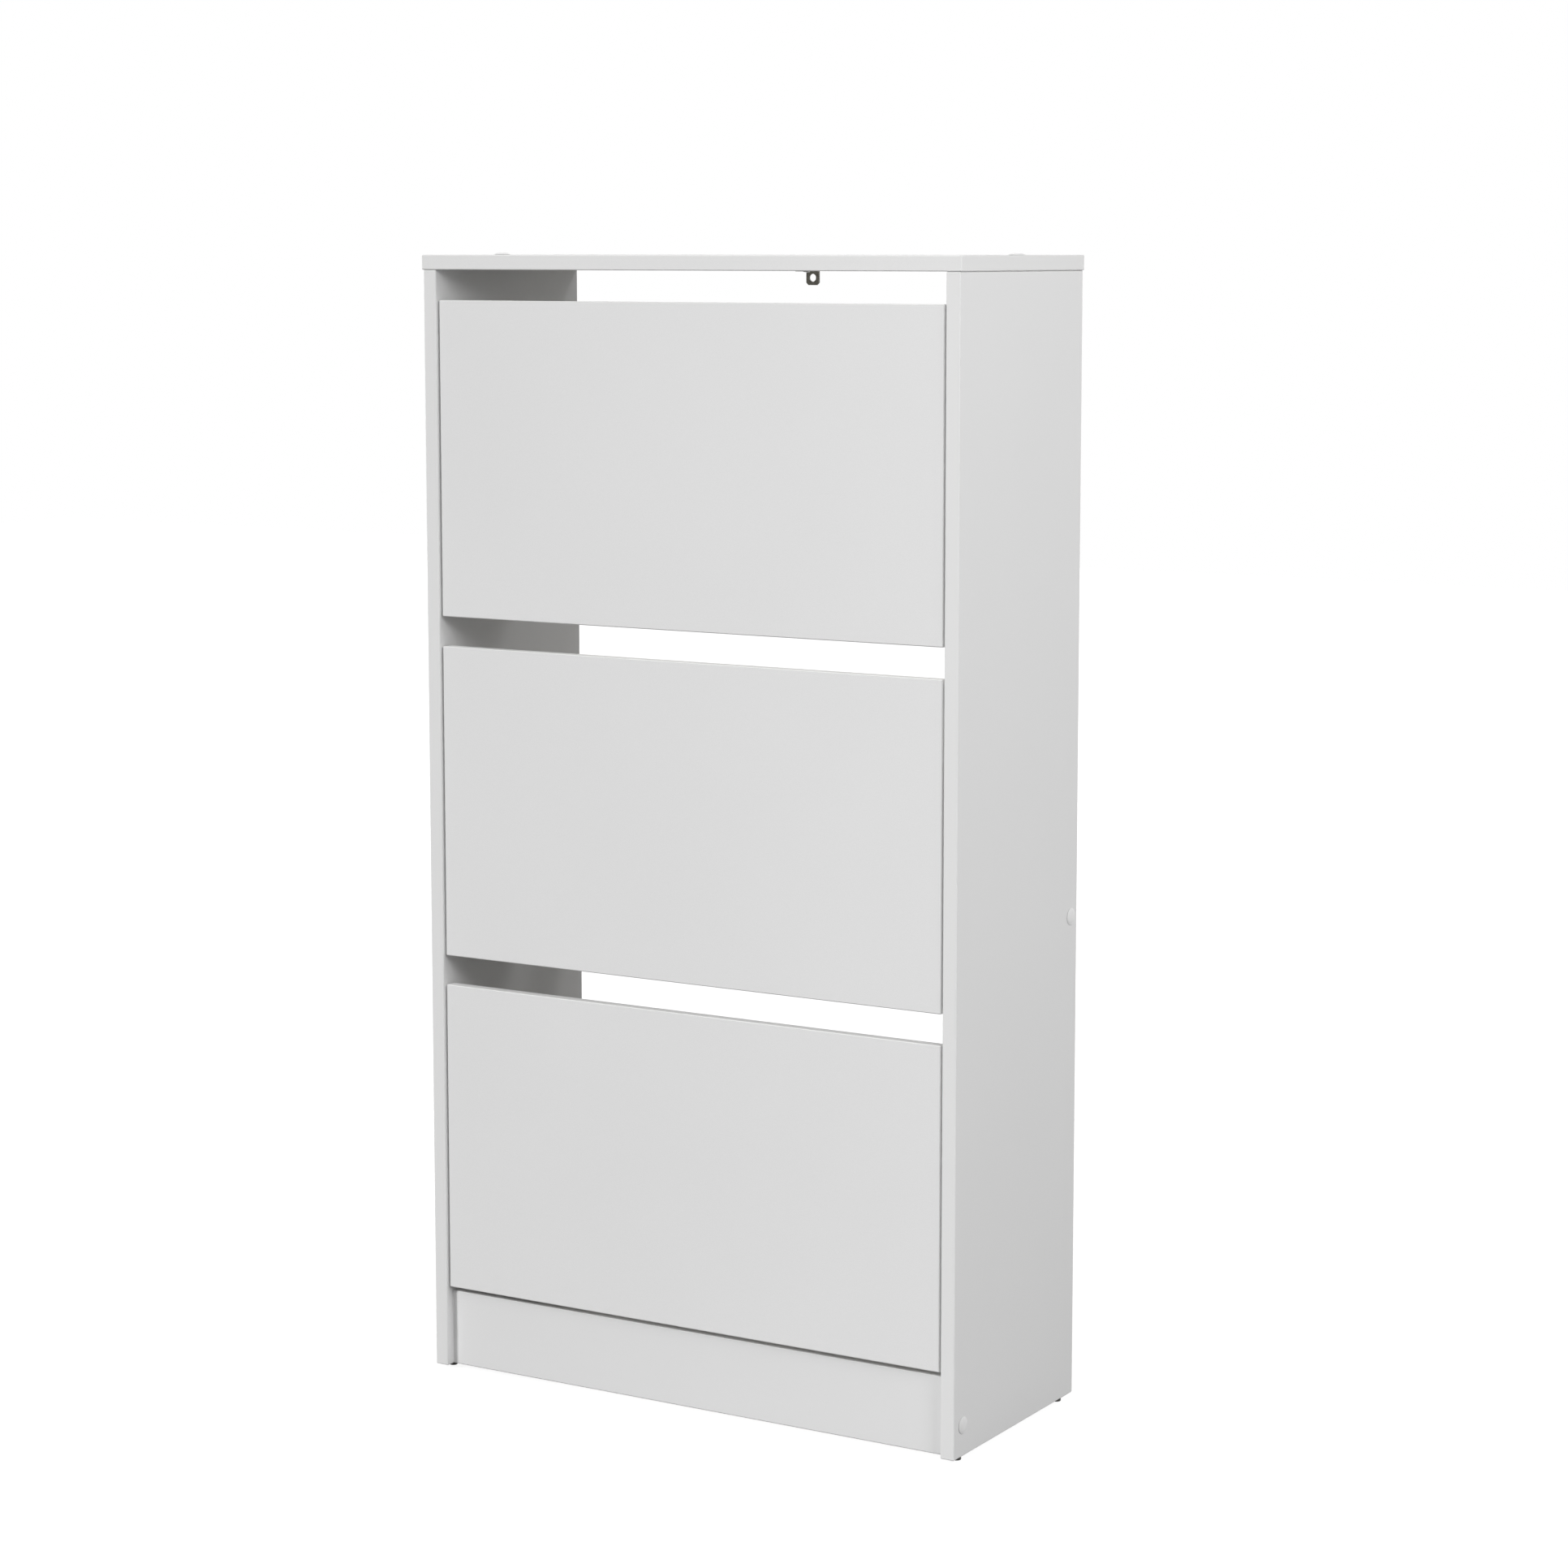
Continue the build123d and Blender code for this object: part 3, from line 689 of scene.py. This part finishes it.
# Cheeks at both ends of every rack, moulded in warm grey plastic with a matt texture. Each is a ribbed
# fan with a pivot stub, a curved slot for the stop pin and a flange that is screwed to the front.
cheek_grey = (0.27, 0.260, 0.240, 1.0)
cheek_values = {"Colour": cheek_grey, "Texture Per Metre": 1300.0, "Smoothest": 0.46, "Roughest": 0.60}
cheek_plastic = finished(
    "cheek_plastic", moulding, cheek_values, bump_strength=0.16, bump_distance=0.10 * mm
)
for level in levels:
    dress(level + "_left_cheek", cheek_plastic)
    dress(level + "_right_cheek", cheek_plastic)


# Rack boards: 6 mm fibreboard, coated warm grey on the faces, with plain painted edges. They plug into the
# seats on the cheeks and make two rows for shoes that stand on their toes.
coat_grey = (0.310, 0.299, 0.276, 1.0)
coat_spread = 0.06
painted_edge = (0.28, 0.268, 0.245, 1.0)
for level in levels:
    for name, face_axis in (
        ("front_row_floor", (0, 0, 1)),
        ("divider", (0, 1, 0)),
        ("rear_row_floor", (0, 0, 1)),
        ("back_board", (0, 1, 0)),
    ):
        dress_board(f"{level}_{name}", face_axis, coat_grey, painted_edge, coat_spread)


# Round-headed screws, zinc plated, through the flanges of the cheeks into the backs of the fronts. They
# have the shank and the cross recess of the bracket's screw, and a taller head.
pan_head_height = 2.2 * mm
for level in levels:
    low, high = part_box(level + "_cheek_screws")
    seat = high.y - pan_head_height
    screw_places = []
    for x in (low.x + pan_head_radius, high.x - pan_head_radius):
        for z in (low.z + pan_head_radius, high.z - pan_head_radius):
            screw_places.append(looking((x, seat, z), (0, 1, 0)))
    screw_form = pan_screw(seat - low.y, pan_head_height)
    screws = set_out(level + "_flange_screws", screw_form, screw_places, zinc)
    stand_for(screws, level + "_flap", level + "_cheek_screws")


# The stage: a plain white floor that keeps the soft shadow, in a dim room. A key lamp far off at the front
# left lights the fronts, soft boxes at the right light the side and reach into the gaps, and one at the
# rear left lights the open back. Gloss mirrors the white surroundings and not the lamps.
floor_half = 9.0
floor_tone = (0.18, 0.18, 0.18, 1.0)
floor_seen_tone = (0.92, 0.92, 0.92, 1.0)
floor_glow = 1.14
floor_shadow_share = 0.20
floor_shadow_near = 0.3
floor_shadow_reach = 1.5
room_light = 0.185
right_share = 2.0
right_heading = 0.8
rear_tint = (1.0, 0.96, 0.88)

floor_mesh = bpy.data.meshes.new("floor")
floor_form = bmesh.new()
bmesh.ops.create_grid(floor_form, x_segments=1, y_segments=1, size=floor_half)
floor_form.to_mesh(floor_mesh)
floor_form.free()
floor = bpy.data.objects.new("floor", floor_mesh)
bpy.context.scene.collection.objects.link(floor)


def seen_directly(tree):
    """1 for rays that show the stage itself: straight to the camera, mirrored or through glass."""
    path = shader_node(tree, "ShaderNodeLightPath")
    either = shader_node(tree, "ShaderNodeMath", operation="MAXIMUM")
    any_of = shader_node(tree, "ShaderNodeMath", operation="MAXIMUM")
    tree.links.new(path.outputs["Is Camera Ray"], either.inputs[0])
    tree.links.new(path.outputs["Is Glossy Ray"], either.inputs[1])
    tree.links.new(either.outputs["Value"], any_of.inputs[0])
    tree.links.new(path.outputs["Is Transmission Ray"], any_of.inputs[1])
    return any_of.outputs["Value"]


floor_paper = bpy.data.materials.new("floor_paper")
floor_paper.use_nodes = True
tree = floor_paper.node_tree
tree.nodes.remove(tree.nodes["Principled BSDF"])
paper = shader_node(tree, "ShaderNodeBsdfDiffuse", {"Color": floor_tone})
bright_paper = shader_node(tree, "ShaderNodeBsdfDiffuse", {"Color": floor_seen_tone})
glow = shader_node(tree, "ShaderNodeEmission", {"Strength": floor_glow})
place = shader_node(tree, "ShaderNodeTexCoord")
distance = shader_node(tree, "ShaderNodeVectorMath", operation="LENGTH")
share = shader_node(
    tree,
    "ShaderNodeMapRange",
    {
        "From Min": floor_shadow_near,
        "From Max": floor_shadow_reach,
        "To Min": floor_shadow_share,
        "To Max": 0.0,
    },
    interpolation_type="SMOOTHSTEP",
)
shown = shader_node(tree, "ShaderNodeMixShader")
choice = shader_node(tree, "ShaderNodeMixShader")
tree.links.new(place.outputs["Object"], distance.inputs[0])
tree.links.new(distance.outputs["Value"], share.inputs["Value"])
tree.links.new(share.outputs["Result"], shown.inputs["Fac"])
tree.links.new(glow.outputs["Emission"], shown.inputs[1])
tree.links.new(bright_paper.outputs["BSDF"], shown.inputs[2])
tree.links.new(seen_directly(tree), choice.inputs["Fac"])
tree.links.new(paper.outputs["BSDF"], choice.inputs[1])
tree.links.new(shown.outputs["Shader"], choice.inputs[2])
tree.links.new(choice.outputs["Shader"], tree.nodes["Material Output"].inputs["Surface"])
floor_mesh.materials.append(floor_paper)

world = bpy.data.worlds.new("studio")
world.use_nodes = True
bpy.context.scene.world = world
tree = world.node_tree
room = tree.nodes["Background"]
white = shader_node(tree, "ShaderNodeBackground", {"Color": (1, 1, 1, 1), "Strength": 1.0})
direction = shader_node(tree, "ShaderNodeTexCoord")
heading = shader_node(tree, "ShaderNodeSeparateXYZ")
strength = shader_node(
    tree,
    "ShaderNodeMapRange",
    {"From Min": 0.0, "From Max": right_heading, "To Min": room_light, "To Max": room_light * right_share},
    interpolation_type="SMOOTHSTEP",
)
choice = shader_node(tree, "ShaderNodeMixShader")
room.inputs["Color"].default_value = (1, 1, 1, 1)
tree.links.new(direction.outputs["Generated"], heading.inputs["Vector"])
tree.links.new(heading.outputs["X"], strength.inputs["Value"])
tree.links.new(strength.outputs["Result"], room.inputs["Strength"])
tree.links.new(seen_directly(tree), choice.inputs["Fac"])
tree.links.new(room.outputs["Background"], choice.inputs[1])
tree.links.new(white.outputs["Background"], choice.inputs[2])
tree.links.new(choice.outputs["Shader"], tree.nodes["World Output"].inputs["Surface"])


def soft_box(name, place, target, size, power, colour=(1, 1, 1)):
    """A square lamp with a cloth front, aimed at a point on the cabinet."""
    lamp = bpy.data.lights.new(name, "AREA")
    lamp.size = size
    lamp.energy = power
    lamp.color = colour
    stand = bpy.data.objects.new(name, lamp)
    stand.location = place
    stand.visible_glossy = False
    stand.rotation_euler = (Vector(target) - Vector(place)).to_track_quat("-Z", "Y").to_euler()
    bpy.context.scene.collection.objects.link(stand)


soft_box("right_box", place=(2.75, -1.5, 1.95), target=(0.1, 0.0, 0.5), size=1.1, power=33.0)
soft_box("side_box", place=(5.5, -0.4, 4.2), target=(0.31, 0.0, 0.4), size=1.4, power=84.0)
soft_box("corner_box", place=(2.3, 1.0, 2.25), target=(0.0, 0.0, 0.7), size=0.35, power=6.0)
soft_box(
    "rear_box", place=(-1.7, 3.0, 1.9), target=(0.0, 0.0, 0.6), size=1.4, power=72.0, colour=rear_tint
)

key_turn = 27.0
key_rise = 29.0
key_spread = 15.0
key_strength = 2.06
key_lamp = bpy.data.lights.new("key_lamp", "SUN")
key_lamp.energy = key_strength
key_lamp.angle = math.radians(key_spread)
key_stand = bpy.data.objects.new("key_lamp", key_lamp)
key_stand.visible_glossy = False
key_stand.rotation_euler = (math.radians(90 - key_rise), 0, math.radians(-key_turn))
bpy.context.scene.collection.objects.link(key_stand)


# The camera stands at the front right, at the height of the cabinet's top, with a long lens. It is turned
# down and its lens is shifted a little, so that views from the other sides stay in the picture.
camera_place = (1.9315, -3.1552, 1.1615)
camera_turn = 30.928
camera_dip = 7.047
lens_length = 84.763
frame_shift = -0.05
sensor_width = 36.0
lens = bpy.data.cameras.new("camera")
lens.lens = lens_length
lens.sensor_width = sensor_width
lens.shift_y = frame_shift
camera = bpy.data.objects.new("camera", lens)
camera.location = camera_place
camera.rotation_euler = (math.radians(90 - camera_dip), 0, math.radians(camera_turn))
bpy.context.scene.collection.objects.link(camera)
bpy.context.scene.camera = camera
bpy.context.scene.view_settings.view_transform = "Standard"
